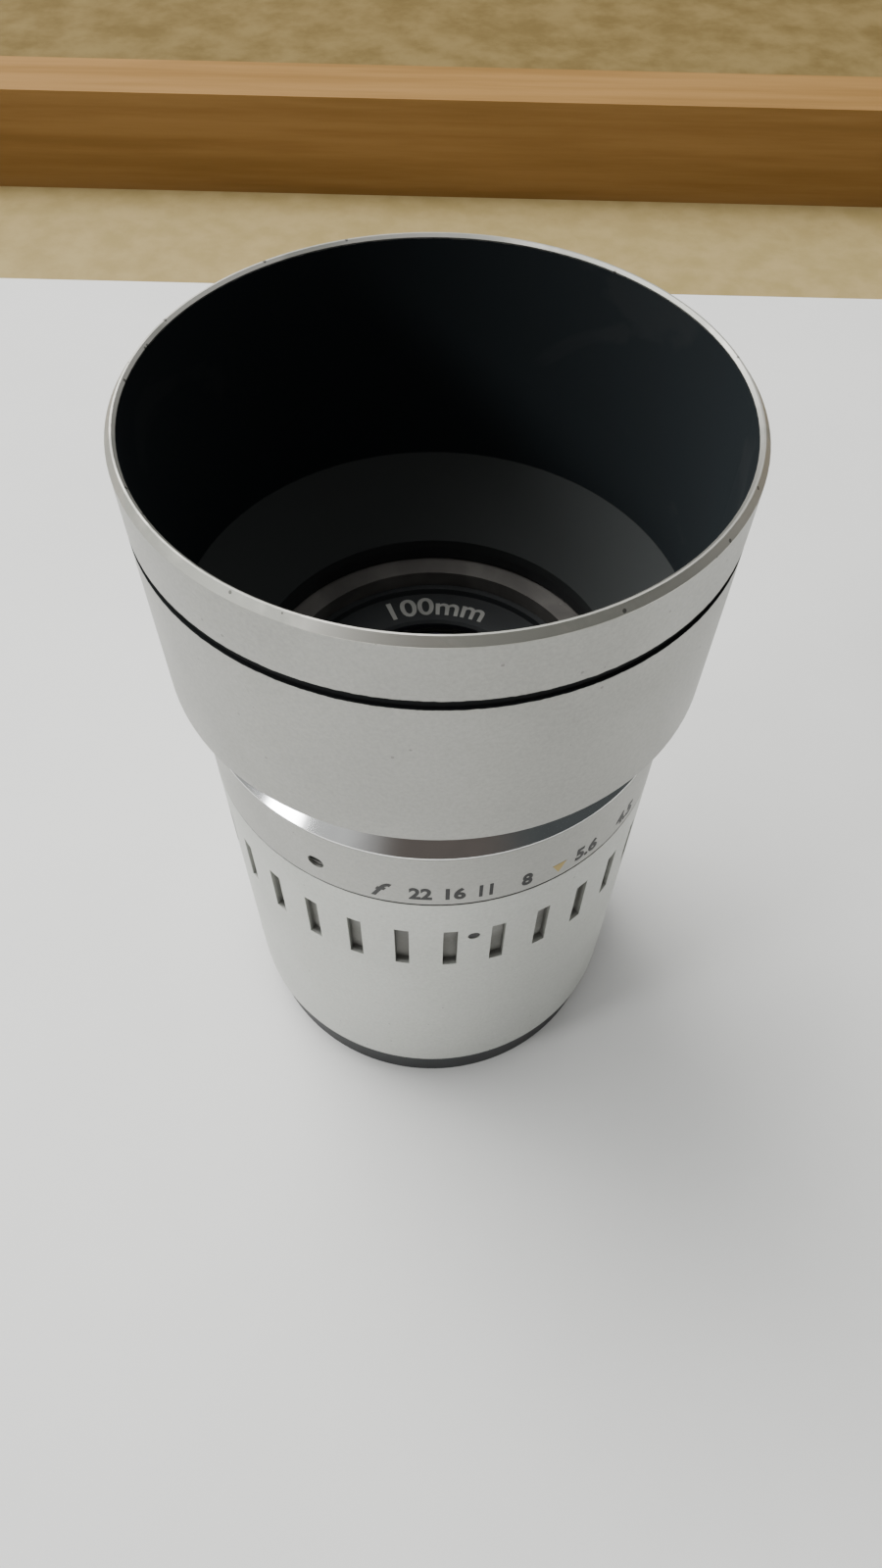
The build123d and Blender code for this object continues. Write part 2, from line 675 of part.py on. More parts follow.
for index in range(blade_count):
    level = blade_first_z + index * blade_pitch
    heading = radians(index * pivot_step + blade_rest)
    pivot = pivot_at(index)
    along = (cos(heading), sin(heading), 0)
    blade_plane = Plane(origin=(pivot.X, pivot.Y, level), x_dir=along, z_dir=(0, 0, 1))
    with BuildPart() as blade:
        with BuildSketch(blade_plane):
            with BuildLine():
                inner = CenterArc((-pivot_circle, 0), blade_inner, blade_start, blade_end - blade_start)
                outer = CenterArc((-pivot_circle, 0), blade_inner + blade_band, blade_start,
                                  blade_end - blade_start)
                Line(inner @ 0, outer @ 0)
                Line(inner @ 1, outer @ 1)
            make_face()
            with BuildLine():
                near = CenterArc((-pivot_circle, 0), pivot_circle - lug_radius - bite, 0, drive_lead)
                far = CenterArc((-pivot_circle, 0), pivot_circle + lug_radius, 0, drive_lead)
                Line(near @ 0, far @ 0)
                Line(near @ 1, far @ 1)
            make_face()
            Circle(lug_radius)
            with Locations((drive_x, drive_y)):
                Circle(lug_radius)
        extrude(amount=blade_thickness)
        with BuildSketch(blade_plane.offset(iris_base_z + pin_end_gap - level)):
            Circle(pin_radius)
        extrude(amount=level - iris_base_z - pin_end_gap + blade_thickness)
        with BuildSketch(blade_plane):
            with Locations((drive_x, drive_y)):
                Circle(pin_radius)
        extrude(amount=actuator_z + actuator_thickness - seat_gap - level)
    save(blade.part, f"blade_{index + 1:02d}")

with BuildPart() as iris_actuator:
    with BuildSketch(Plane.XY.offset(actuator_z)):
        Circle(actuator_radius)
        Circle(actuator_bore, mode=Mode.SUBTRACT)
        for index in range(blade_count):
            left, right, first, last = slot_sides(slot_path(index), pin_radius + run_gap)
            with BuildLine():
                Spline(*left)
                Spline(*right)
                ThreePointArc(left[0], first, right[0])
                ThreePointArc(left[-1], last, right[-1])
            make_face(mode=Mode.SUBTRACT)
    extrude(amount=actuator_thickness)
    with BuildSketch(half_plane(arm_angle - degrees(arm_width / 2 / arm_radius))):
        with BuildLine():
            Polyline(
                (arm_radius - arm_thickness, actuator_z + bite), (arm_radius, actuator_z + bite),
                (arm_radius, arm_top), (arm_radius - arm_thickness, arm_top),
                close=True,
            )
        make_face()
    revolve(axis=Axis.Z, revolution_arc=degrees(arm_width / arm_radius))
    with BuildSketch(radial_plane(arm_angle, ring_screw_height, arm_radius + overcut)):
        Circle(ring_screw_tip + seat_gap)
    extrude(amount=-(arm_thickness + 2 * overcut), mode=Mode.SUBTRACT)
save(iris_actuator.part, "iris_actuator")

clip_radius = head_bore + clip_radial / 2 - clip_play

with BuildPart() as iris_clip:
    with BuildSketch(half_plane(clip_opening / 2)):
        with BuildLine():
            Polyline(
                (clip_radius - clip_radial, clip_z), (clip_radius, clip_z),
                (clip_radius, clip_z + clip_thickness),
                (clip_radius - clip_radial, clip_z + clip_thickness),
                close=True,
            )
        make_face()
    revolve(axis=Axis.Z, revolution_arc=360 - clip_opening)
save(iris_clip.part, "iris_clip")

# ---------------------------------------------------------------- click stop
ball_centre = detent_groove_radius - detent_groove_depth / 2 - detent_ball_radius
spring_foot = head_bore + detent_seat_wall + detent_ball_gap

with BuildPart() as detent_ball:
    ball_place = outward(detent_angle) * ball_centre
    with Locations((ball_place.X, ball_place.Y, detent_height)):
        Sphere(detent_ball_radius)
save(detent_ball.part, "detent_ball")

with BuildPart() as detent_spring:
    with BuildSketch(radial_plane(detent_angle, detent_height, spring_foot)):
        Circle(spring_radius)
        Circle(spring_radius - spring_wire, mode=Mode.SUBTRACT)
    extrude(amount=ball_centre - detent_ball_radius - spring_foot + bite)
save(detent_spring.part, "detent_spring")

# ---------------------------------------------------------------- front cell and name ring
middle_bore = middle_glass_radius + glass_fit
front_bore = front_glass_radius + glass_fit
flange_radius = front_thread_radius - glass_fit

with BuildPart() as front_cell:
    with BuildSketch(Plane.XZ):
        with BuildLine():
            Polyline(
                (cell_radius, cell_bottom), (cell_radius, cell_shoulder + seat_gap),
                (flange_radius, cell_shoulder + seat_gap), (flange_radius, cell_shoulder + cell_flange),
                (cell_mouth, cell_shoulder + cell_flange), (cell_mouth, name_ring_bottom - seat_gap),
                (front_bore, name_ring_bottom - seat_gap), (front_bore, front_seat),
                (middle_bore, front_seat), (middle_bore, middle_seat),
                (middle_bore - middle_ledge, middle_seat), (middle_bore - middle_ledge, cell_bottom),
                close=True,
            )
        make_face()
    revolve(axis=Axis.Z)
save(front_cell.part, "front_cell")

ring_edge = cell_mouth - screwed_gap
lip_edge = ring_edge - name_ring_lip_width
lip_top = name_ring_face + name_ring_lip

with BuildPart() as name_ring:
    with BuildSketch(Plane.XZ):
        with BuildLine():
            Polyline(
                (name_ring_bore, name_ring_bottom), (ring_edge, name_ring_bottom),
                (ring_edge, lip_top), (lip_edge, lip_top), (lip_edge - name_ring_cove, name_ring_face),
                (name_ring_bore + name_ring_bevel, name_ring_face),
                (name_ring_bore, name_ring_face - name_ring_bevel),
                close=True,
            )
        make_face()
    revolve(axis=Axis.Z)
save(name_ring.part, "name_ring")

# ---------------------------------------------------------------- glass
front_curve = curve_of(front_crown, front_glass_radius)
front_back_curve = curve_of(front_back_crown, front_glass_radius)
middle_front_curve = curve_of(middle_front_hollow, middle_glass_radius)
middle_back_curve = curve_of(middle_back_hollow, middle_glass_radius)
rear_front_curve = curve_of(rear_front_crown, rear_glass_radius)
rear_joint_curve = curve_of(rear_joint_crown, rear_glass_radius)
rear_last_curve = curve_of(rear_last_crown, rear_glass_radius)
front_edge_top = front_glass_vertex - sag(front_curve, front_glass_radius)

with BuildPart() as front_element:
    with BuildSketch(Plane.XZ):
        with BuildLine():
            top_z = front_glass_vertex
            low_z = front_seat + seat_gap - sag(front_back_curve, middle_bore)
            low_edge = low_z + sag(front_back_curve, front_glass_radius)
            half = front_glass_radius / 2
            Line((0, low_z), (0, top_z))
            ThreePointArc((0, top_z), (half, top_z - sag(front_curve, half)),
                          (front_glass_radius, front_edge_top))
            Line((front_glass_radius, front_edge_top), (front_glass_radius, low_edge))
            ThreePointArc((front_glass_radius, low_edge),
                          (half, low_z + sag(front_back_curve, half)), (0, low_z))
        make_face()
    revolve(axis=Axis.Z)
save(front_element.part, "front_element")

with BuildPart() as middle_element:
    with BuildSketch(Plane.XZ):
        with BuildLine():
            low_edge = middle_seat + seat_gap
            top_edge = low_edge + middle_edge
            half = middle_glass_radius / 2
            low_z = low_edge + sag(middle_back_curve, middle_glass_radius)
            top_z = top_edge - sag(middle_front_curve, middle_glass_radius)
            Line((0, low_z), (0, top_z))
            ThreePointArc((0, top_z), (half, top_z + sag(middle_front_curve, half)),
                          (middle_glass_radius, top_edge))
            Line((middle_glass_radius, top_edge), (middle_glass_radius, low_edge))
            ThreePointArc((middle_glass_radius, low_edge), (half, low_z - sag(middle_back_curve, half)),
                          (0, low_z))
        make_face()
    revolve(axis=Axis.Z)
save(middle_element.part, "middle_element")

with BuildPart() as middle_retainer:
    with BuildSketch(Plane.XY.offset(middle_seat + middle_edge + 2 * seat_gap)):
        Circle(middle_bore - seat_gap)
        Circle(middle_bore - middle_retainer_width, mode=Mode.SUBTRACT)
    extrude(amount=middle_retainer_height)
save(middle_retainer.part, "middle_retainer")

rear_bore = rear_glass_radius + 2 * glass_fit
rear_edge = barrel_bore - screwed_gap

with BuildPart() as rear_element_a:
    with BuildSketch(Plane.XZ):
        with BuildLine():
            half = rear_glass_radius / 2
            top_edge = rear_vertex - sag(rear_front_curve, rear_glass_radius)
            low_edge = rear_joint_vertex + sag(rear_joint_curve, rear_glass_radius)
            Line((0, rear_joint_vertex), (0, rear_vertex))
            ThreePointArc((0, rear_vertex), (half, rear_vertex - sag(rear_front_curve, half)),
                          (rear_glass_radius, top_edge))
            Line((rear_glass_radius, top_edge), (rear_glass_radius, low_edge))
            ThreePointArc((rear_glass_radius, low_edge),
                          (half, rear_joint_vertex + sag(rear_joint_curve, half)), (0, rear_joint_vertex))
        make_face()
    revolve(axis=Axis.Z)
save(rear_element_a.part, "rear_element_a")

with BuildPart() as rear_element_b:
    with BuildSketch(Plane.XZ):
        with BuildLine():
            joint_z = rear_joint_vertex - cement_gap
            joint_edge = joint_z + sag(rear_joint_curve, rear_glass_radius)
            last_edge = rear_last_vertex + sag(rear_last_curve, rear_glass_radius)
            Line((0, rear_last_vertex), (0, joint_z))
            ThreePointArc((0, joint_z), (half, joint_z + sag(rear_joint_curve, half)),
                          (rear_glass_radius, joint_edge))
            Line((rear_glass_radius, joint_edge), (rear_glass_radius, last_edge))
            ThreePointArc((rear_glass_radius, last_edge),
                          (half, rear_last_vertex + sag(rear_last_curve, half)), (0, rear_last_vertex))
        make_face()
    revolve(axis=Axis.Z)
save(rear_element_b.part, "rear_element_b")

# ---------------------------------------------------------------- rear cell, its ring and baffle
with BuildPart() as rear_cell:
    with BuildSketch(Plane.XZ):
        with BuildLine():
            Polyline(
                (rear_bore, rear_cell_bottom), (rear_edge, rear_cell_bottom), (rear_edge, rear_cell_top),
                (rear_bore - rear_ledge, rear_cell_top), (rear_bore - rear_ledge, rear_seat),
                (rear_bore, rear_seat),
                close=True,
            )
        make_face()
    revolve(axis=Axis.Z)
save(rear_cell.part, "rear_cell")

retainer_bore = rear_bore - glass_fit - rear_retainer_width
retainer_top = rear_last_vertex + sag(rear_last_curve, retainer_bore) - glass_fit

with BuildPart() as rear_retainer:
    with BuildSketch(Plane.XY.offset(retainer_top)):
        Circle(rear_bore - glass_fit)
        Circle(retainer_bore, mode=Mode.SUBTRACT)
    extrude(amount=-rear_retainer_height)
    with Locations((0, 0, retainer_top - rear_retainer_height)):
        Box(3 * rear_bore, spanner_slot_width, spanner_slot_depth, mode=Mode.SUBTRACT)
save(rear_retainer.part, "rear_retainer")

with BuildPart() as rear_baffle:
    mouth_radius = rear_edge - baffle_wall
    step_width = (mouth_radius - baffle_bore) / baffle_steps
    step_rise = (baffle_top - baffle_wall - baffle_bottom) / baffle_steps
    inner_points = []
    for k in range(baffle_steps):
        step_radius = mouth_radius - k * step_width
        inner_points.append((step_radius, baffle_bottom + k * step_rise))
        inner_points.append((step_radius, baffle_bottom + (k + 1) * step_rise))
    inner_points.append((baffle_bore, baffle_top - baffle_wall))
    inner_points.append((baffle_bore, baffle_top))
    with BuildSketch(Plane.XZ):
        with BuildLine():
            Polyline(*inner_points, (rear_edge, baffle_top), (rear_edge, baffle_bottom), close=True)
        make_face()
    revolve(axis=Axis.Z)
save(rear_baffle.part, "rear_baffle")

# ---------------------------------------------------------------- polished bezel
bezel_spigot = bezel_seat_radius - glass_fit

with BuildPart() as bezel_ring:
    with BuildSketch(Plane.XZ):
        with BuildLine():
            Polyline(
                (front_thread_radius, bezel_foot), (bezel_spigot, bezel_foot),
                (bezel_spigot, bezel_bottom), (ring_radius, bezel_bottom),
                (ring_radius, bezel_bottom + bezel_rim), (crest_radius, bevel_top),
                (crest_radius - bezel_crest, bevel_top), (front_thread_radius, bezel_foot + bezel_skirt),
                close=True,
            )
        make_face()
    revolve(axis=Axis.Z)
save(bezel_ring.part, "bezel_ring")

# ---------------------------------------------------------------- hood
hood_bottom = cone_z(hood_bore)
floor_edge = hood_radius - hood_foot_round
groove_radius = hood_radius - hood_groove_depth
groove_bottom = hood_groove_top - hood_groove_width

with BuildPart() as hood_shell:
    with BuildSketch(Plane.XZ):
        with BuildLine():
            Polyline(
                (collar_bore, hood_floor), (hood_bore, hood_bottom),
                (hood_bore, hood_top - hood_lip_inner), (hood_bore + hood_lip_inner, hood_top),
                (hood_bore + hood_lip_inner + hood_lip_flat, hood_top), (hood_radius, hood_top - hood_lip),
                (hood_radius, hood_groove_top), (groove_radius, hood_groove_top),
                (groove_radius, groove_bottom), (hood_radius, groove_bottom),
                (hood_radius, hood_bottom), (floor_edge, cone_z(floor_edge) - cone_drop),
                (collar_bore, hood_floor - cone_drop),
                close=True,
            )
        make_face()
    revolve(axis=Axis.Z)
save(hood_shell.part, "hood_shell")

collar_top = cone_z(collar_radius) - cone_drop
collar_bottom = cell_shoulder + cell_flange + collar_clear
thread_foot = collar_bottom + thread_lead_in
thread_turns = int((collar_top - collar_bottom - 2 * thread_lead_in) / thread_pitch)

with BuildPart() as hood_collar:
    thread_points = []
    for k in range(thread_turns):
        root_z = thread_foot + k * thread_pitch
        thread_points.append((collar_radius, root_z))
        thread_points.append((collar_radius - thread_depth, root_z + thread_pitch / 2))
    thread_points.append((collar_radius, thread_foot + thread_turns * thread_pitch))
    with BuildSketch(Plane.XZ):
        with BuildLine():
            Polyline(
                (collar_bore, collar_bottom), (collar_radius - thread_depth, collar_bottom), *thread_points,
                (collar_radius, collar_top), (collar_bore, hood_floor - cone_drop),
                close=True,
            )
        make_face()
    revolve(axis=Axis.Z)
save(hood_collar.part, "hood_collar")

print(f"focus travel {focus_travel:.2f} mm, ring {open_turn:.1f} to {shut_turn:.1f} degrees")
print(f"blade ratio {blade_ratio:.4f}, blade angle at rest {blade_rest:.2f}")
print(f"slot ends at radius {slot_path(0)[-1].length:.2f}")
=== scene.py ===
# %% [markdown]
# # A short telephoto lens with its drum hood
#
# The lens arrives as a packed engineering model: every turned ring, screw, glass and iris blade is
# already a solid of the right size. This lesson gives the metal, paint and glass their surfaces, adds
# the filled figures that a lens maker engraves, and lights the lens on a pale table. We start by
# loading the model, because every place and size that follows is read from it.

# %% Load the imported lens
import math
import bpy
from mathutils import Matrix, Vector


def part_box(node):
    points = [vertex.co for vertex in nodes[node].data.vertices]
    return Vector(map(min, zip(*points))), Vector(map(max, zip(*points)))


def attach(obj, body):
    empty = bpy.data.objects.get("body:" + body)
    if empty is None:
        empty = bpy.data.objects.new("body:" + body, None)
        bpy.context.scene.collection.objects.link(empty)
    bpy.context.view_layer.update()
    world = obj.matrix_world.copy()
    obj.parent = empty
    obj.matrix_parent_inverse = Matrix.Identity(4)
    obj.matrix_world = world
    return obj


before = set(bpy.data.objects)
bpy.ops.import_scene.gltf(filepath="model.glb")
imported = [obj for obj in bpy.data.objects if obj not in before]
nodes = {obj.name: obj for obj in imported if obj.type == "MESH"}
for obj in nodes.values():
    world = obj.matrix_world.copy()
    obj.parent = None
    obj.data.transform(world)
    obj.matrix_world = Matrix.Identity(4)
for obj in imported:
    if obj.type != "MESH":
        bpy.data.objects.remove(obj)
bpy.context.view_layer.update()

MM = 0.001

# %% [markdown]
# The camera and the light come first, so that every finish can be judged as soon as it is made. The
# view is from above the front edge of the hood, with a short focal length, which makes the rim look
# large and the foot small.

# %% Camera over the hood's rim
hood_high = Vector(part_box("hood_shell")[1])
rim_z = hood_high.z
rim_radius = hood_high.x
camera_data = bpy.data.cameras.new("lesson_camera")
camera_data.lens = 23.6
camera_data.sensor_width = 36.0
camera_data.clip_start = 0.005
camera = bpy.data.objects.new("lesson_camera", camera_data)
bpy.context.scene.collection.objects.link(camera)
pitch = math.radians(90 - 55.0)
roll = math.radians(1.38)
camera.matrix_world = (
    Matrix.Translation((0.9 * MM, -71.1 * MM, rim_z + 48.7 * MM))
    @ Matrix.Rotation(pitch, 4, "X")
    @ Matrix.Rotation(roll, 4, "Z")
)
bpy.context.scene.camera = camera
print("camera height above rim", round((camera.location.z - rim_z) / MM, 1), "mm")

# %% [markdown]
# The room is a world shader that depends only on direction: a pale ceiling, a darker side where a
# person would stand, and one tall window at the left. Polished rings mirror this room, so its dark
# side matters as much as its bright one. A wide area light gives the soft shadow on the table.

# %% Room and lights
world = bpy.data.worlds.new("room")
bpy.context.scene.world = world
world.use_nodes = True
room = world.node_tree
room.nodes.clear()


def room_node(kind, **settings):
    """Add one node to the room's shader and set its fields."""
    node = room.nodes.new(kind)
    for name, value in settings.items():
        setattr(node, name, value)
    return node


def facing(direction, low, high):
    """Mask that is 1 where the room is seen along this direction."""
    dot = room_node("ShaderNodeVectorMath", operation="DOT_PRODUCT")
    room.links.new(room_coords.outputs["Generated"], dot.inputs[0])
    dot.inputs[1].default_value = Vector(direction).normalized()
    mask = room_node("ShaderNodeMapRange", interpolation_type="SMOOTHSTEP")
    room.links.new(dot.outputs["Value"], mask.inputs["Value"])
    mask.inputs["From Min"].default_value = low
    mask.inputs["From Max"].default_value = high
    return mask.outputs["Result"]


def room_mix(factor, below, above):
    """Blend two room colours by a mask."""
    mix = room_node("ShaderNodeMix", data_type="RGBA")
    room.links.new(factor, mix.inputs["Factor"])
    for socket, value in ((mix.inputs["A"], below), (mix.inputs["B"], above)):
        if isinstance(value, tuple):
            socket.default_value = value
        else:
            room.links.new(value, socket)
    return mix.outputs["Result"]


room_coords = room_node("ShaderNodeTexCoord")
wall = room_mix(facing((0, 0, 1), 0.05, 0.95), (0.26, 0.262, 0.262, 1), (0.98, 0.99, 0.98, 1))
glow = room_mix(facing((-0.60, 0.35, 0.72), 0.79, 0.97), wall, (3.85, 3.92, 3.92, 1))
shade = room_mix(facing((0.20, -0.82, 0.55), 0.72, 0.94), glow, (0.135, 0.118, 0.108, 1))
side = room_mix(facing((0.85, -0.45, 0.30), 0.75, 0.95), shade, (0.080, 0.088, 0.090, 1))
bright = room_mix(facing((-0.79, -0.39, 0.47), 0.989, 0.997), side, (26.0, 26.3, 26.3, 1))
background = room_node("ShaderNodeBackground")
room.links.new(bright, background.inputs["Color"])
background.inputs["Strength"].default_value = 0.86
room_out = room_node("ShaderNodeOutputWorld")
room.links.new(background.outputs["Background"], room_out.inputs["Surface"])


def soft_light(name, place, size, power, colour=(1, 1, 1)):
    """Square area light that points at the middle of the lens."""
    data = bpy.data.lights.new(name, "AREA")
    data.size = size
    data.energy = power
    data.color = colour
    lamp = bpy.data.objects.new(name, data)
    bpy.context.scene.collection.objects.link(lamp)
    lamp.location = place
    aim = Vector((0, 0, rim_z / 2)) - Vector(place)
    lamp.rotation_euler = aim.to_track_quat("-Z", "Y").to_euler()
    return lamp


soft_light("ceiling_panel", (-0.32, 0.30, 0.75), 0.50, 6.0, (1.0, 0.985, 0.955))
print("room and one panel light")

# %% [markdown]
# The effects that several finishes share are node groups. Each takes a few numbers and puts out masks,
# values or heights. The shaders themselves stay in the materials, so that an export can read them.

# %% Helpers for shader node groups


def new_group(name, inputs, outputs):
    """Make a shader group with inputs {name: default} and named outputs, all of them numbers."""
    group = bpy.data.node_groups.new(name, "ShaderNodeTree")
    for label, default in inputs.items():
        socket = group.interface.new_socket(label, in_out="INPUT", socket_type="NodeSocketFloat")
        socket.default_value = default
    for label in outputs:
        group.interface.new_socket(label, in_out="OUTPUT", socket_type="NodeSocketFloat")
    return group


class Graph:
    """Short hand for adding and linking nodes in a tree."""

    def __init__(self, tree):
        self.tree = tree

    def add(self, kind, inputs=(), **settings):
        """Add a node, set its fields, and feed or set its inputs."""
        node = self.tree.nodes.new(kind)
        for name, value in settings.items():
            setattr(node, name, value)
        for key, value in dict(inputs).items():
            self.feed(node.inputs[key], value)
        return node

    def feed(self, socket, value):
        """Link an output to a socket, or set the socket's own value."""
        if isinstance(value, bpy.types.NodeSocket):
            self.tree.links.new(value, socket)
        else:
            socket.default_value = value

    def math(self, operation, a, b=0.0, clamp=False):
        """One math node's result."""
        node = self.add("ShaderNodeMath", {0: a, 1: b}, operation=operation, use_clamp=clamp)
        return node.outputs[0]

    def scaled(self, value, factor, offset):
        """A value times a factor, plus an offset."""
        node = self.add("ShaderNodeMath", {0: value, 1: factor, 2: offset}, operation="MULTIPLY_ADD")
        return node.outputs[0]

    def band(self, value, low, high, soft):
        """1 between low and high, falling to 0 over the soft width."""
        rise = self.step(value, low - soft, low + soft)
        fall = self.step(value, high - soft, high + soft)
        return self.math("SUBTRACT", rise, fall, clamp=True)

    def step(self, value, low, high):
        """Smooth rise from 0 at low to 1 at high."""
        node = self.add("ShaderNodeMapRange", {"Value": value, "From Min": low, "From Max": high},
                        interpolation_type="SMOOTHSTEP")
        return node.outputs["Result"]

    def mix(self, factor, a, b):
        """Blend two colours."""
        node = self.add("ShaderNodeMix", data_type="RGBA")
        self.feed(node.inputs["Factor"], factor)
        self.feed(node.inputs["A"], a)
        self.feed(node.inputs["B"], b)
        return node.outputs["Result"]

    def blend(self, factor, a, b):
        """Blend two numbers."""
        node = self.add("ShaderNodeMix", data_type="FLOAT")
        self.feed(node.inputs["Factor"], factor)
        self.feed(node.inputs["A"], a)
        self.feed(node.inputs["B"], b)
        return node.outputs["Result"]


def place_group(graph, group, **inputs):
    """Put a shared group into a material and set its named inputs."""
    node = graph.add("ShaderNodeGroup")
    node.node_tree = group
    for name, value in inputs.items():
        graph.feed(node.inputs[name.replace("_", " ")], value)
    return node


print("helpers ready")

# %% [markdown]
# Satin aluminium is blasted or etched before it is anodised, so its grain has no direction: tiny pits
# a tenth of a millimetre wide. Under it lie faint rings from the lathe. Handling leaves broad smudges
# that change only the gloss.

# %% Grain, lathe rings and smudges
grain_group = new_group("blasted_grain", {"Size mm": 0.12, "Depth": 1.0},
                        ("Value", "Height", "Mottle"))
g = Graph(grain_group)
g_in = g.add("NodeGroupInput")
g_out = g.add("NodeGroupOutput")
coords = g.add("ShaderNodeTexCoord").outputs["Object"]
per_metre = g.math("DIVIDE", 1000.0, g_in.outputs["Size mm"])
grain = g.add("ShaderNodeTexNoise", {"Vector": coords, "Scale": per_metre, "Detail": 3.0,
                                     "Roughness": 0.6})
g.feed(g_out.inputs["Value"], grain.outputs["Fac"])
g.feed(g_out.inputs["Height"], g.math("MULTIPLY", grain.outputs["Fac"], g_in.outputs["Depth"]))
coarse = g.add("ShaderNodeTexNoise", {"Vector": coords, "Scale": g.math("DIVIDE", per_metre, 4.0),
                                      "Detail": 2.5, "Roughness": 0.7})
g.feed(g_out.inputs["Mottle"], coarse.outputs["Fac"])

lathe_group = new_group("lathe_rings", {"Pitch mm": 0.15, "Contrast": 1.0},
                        ("Value", "Radius", "Height mm", "Radius mm"))
g = Graph(lathe_group)
g_in = g.add("NodeGroupInput")
g_out = g.add("NodeGroupOutput")
coords = g.add("ShaderNodeTexCoord").outputs["Object"]
split = g.add("ShaderNodeSeparateXYZ", {"Vector": coords})
flat = g.add("ShaderNodeCombineXYZ", {"X": split.outputs["X"], "Y": split.outputs["Y"]})
radius = g.add("ShaderNodeVectorMath", {0: flat.outputs["Vector"]}, operation="LENGTH").outputs["Value"]
across = g.math("ADD", radius, split.outputs["Z"])
rings = g.math("DIVIDE", g.math("MULTIPLY", across, 1000.0), g_in.outputs["Pitch mm"])
track = g.add("ShaderNodeCombineXYZ", {"X": rings, "Y": g.math("MULTIPLY", split.outputs["X"], 25.0),
                                       "Z": g.math("MULTIPLY", split.outputs["Y"], 25.0)})
lines = g.add("ShaderNodeTexNoise", {"Vector": track.outputs["Vector"], "Scale": 1.0, "Detail": 2.0})
g.feed(g_out.inputs["Value"], g.blend(g_in.outputs["Contrast"], 0.5, lines.outputs["Fac"]))
g.feed(g_out.inputs["Radius"], radius)
g.feed(g_out.inputs["Radius mm"], g.math("MULTIPLY", radius, 1000.0))
g.feed(g_out.inputs["Height mm"], g.math("MULTIPLY", split.outputs["Z"], 1000.0))

smudge_group = new_group("handling_smudges", {"Size mm": 9.0}, ("Value",))
g = Graph(smudge_group)
g_in = g.add("NodeGroupInput")
g_out = g.add("NodeGroupOutput")
coords = g.add("ShaderNodeTexCoord").outputs["Object"]
per_metre = g.math("DIVIDE", 1000.0, g_in.outputs["Size mm"])
cloud = g.add("ShaderNodeTexNoise", {"Vector": coords, "Scale": per_metre, "Detail": 5.0, "Distortion": 0.6})
g.feed(g_out.inputs["Value"], g.step(cloud.outputs["Fac"], 0.35, 0.70))
print("groups", [group.name for group in (grain_group, lathe_group, smudge_group)])

# %% [markdown]
# Small damage is sparse: dark pits in the finish, and pale specks of dust that settle on faces that
# look up. Both come from cell noise, where only the cells with a high random number are kept.

# %% Pits and dust
speck_group = new_group("sparse_specks", {"Spacing mm": 1.4, "Share": 0.12, "Size": 0.10},
                        ("Mask",))
g = Graph(speck_group)
g_in = g.add("NodeGroupInput")
g_out = g.add("NodeGroupOutput")
coords = g.add("ShaderNodeTexCoord").outputs["Object"]
per_metre = g.math("DIVIDE", 1000.0, g_in.outputs["Spacing mm"])
cells = g.add("ShaderNodeTexVoronoi", {"Vector": coords, "Scale": per_metre})
near = g.math("LESS_THAN", cells.outputs["Distance"], g_in.outputs["Size"])
pick = g.add("ShaderNodeSeparateColor", {"Color": cells.outputs["Color"]}).outputs["Red"]
chosen = g.math("LESS_THAN", pick, g_in.outputs["Share"])
g.feed(g_out.inputs["Mask"], g.math("MULTIPLY", near, chosen))
print("group", speck_group.name)

# %% [markdown]
# Every finish is one Principled shader with its own colour, roughness and bump. A small function makes
# the empty material, and each finish then adds what the real surface shows.

# %% Material helper


def finish(name, metallic=0.0, **constants):
    """New material with a Principled shader, and the graph that feeds it."""
    material = bpy.data.materials.new(name)
    material.use_nodes = True
    tree = material.node_tree
    shader = tree.nodes["Principled BSDF"]
    shader.inputs["Metallic"].default_value = metallic
    for label, value in constants.items():
        shader.inputs[label.replace("_", " ")].default_value = value
    return material, Graph(tree), shader


def bump(graph, shader, height, distance_mm, strength=1.0):
    """Feed a height to the shader's normal, with its depth in millimetres."""
    node = graph.add("ShaderNodeBump", {"Height": height, "Strength": strength, "Distance": distance_mm * MM})
    graph.feed(shader.inputs["Normal"], node.outputs["Normal"])


# %% [markdown]
# The sleeve and the aperture ring share one recipe. The sleeve's flutes are cut after blasting, and
# anything deeper than the outer skin is painted darker, as shade inside the flutes, and is rougher.
# Depth is found from the radius of a point.

# %% Satin aluminium
SKIN_RADIUS = 24.0
SEAM_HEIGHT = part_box("focusing_sleeve")[1][2] / MM
PIT_GREY = (0.16, 0.155, 0.15, 1)
PAINT_BLACK = (0.010, 0.011, 0.012, 1)


